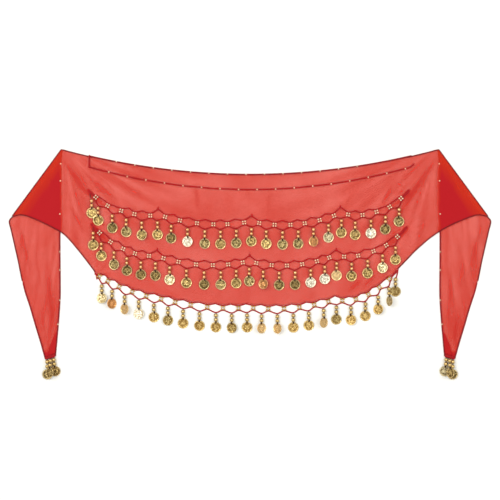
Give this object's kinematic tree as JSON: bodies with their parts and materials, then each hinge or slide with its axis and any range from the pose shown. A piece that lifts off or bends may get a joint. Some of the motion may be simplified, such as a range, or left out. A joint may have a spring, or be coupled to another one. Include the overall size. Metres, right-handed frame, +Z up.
{
  "type": "belly dance hip scarf",
  "caption": "Sheer hip scarf laid flat, its tying tails folded behind and down, with crocheted edging and netted rows of coins on bead drops.",
  "frame": {"origin": "middle of the laid scarf's outline, on the surface it lies on", "axes": "+X along the scarf's length to the viewer's right, +Y towards its top edge, +Z up out of its face"},
  "size_m": [0.842, 0.4008, 0.0175],
  "materials": {
    "chiffon": "sheer red chiffon",
    "yarn": "dark red crocheted yarn",
    "coins": "stamped brass-coloured coins and gold beads"
  },
  "bodies": {
    "root": {"body_panel": "chiffon", "tail_left": "chiffon", "tail_right": "chiffon", "tip_fold_left": "chiffon", "tip_fold_right": "chiffon", "top_edge_cord": "yarn", "waist_cord": "yarn", "tail_inner_cord_left": "yarn", "tail_inner_cord_right": "yarn", "tail_outer_cord_left": "yarn", "tail_outer_cord_right": "yarn", "coin_row_1": "coins", "coin_row_2": "coins", "coin_row_3": "coins", "tip_coins_left": "coins", "tip_coins_right": "coins"}
  },
  "joints": []
}
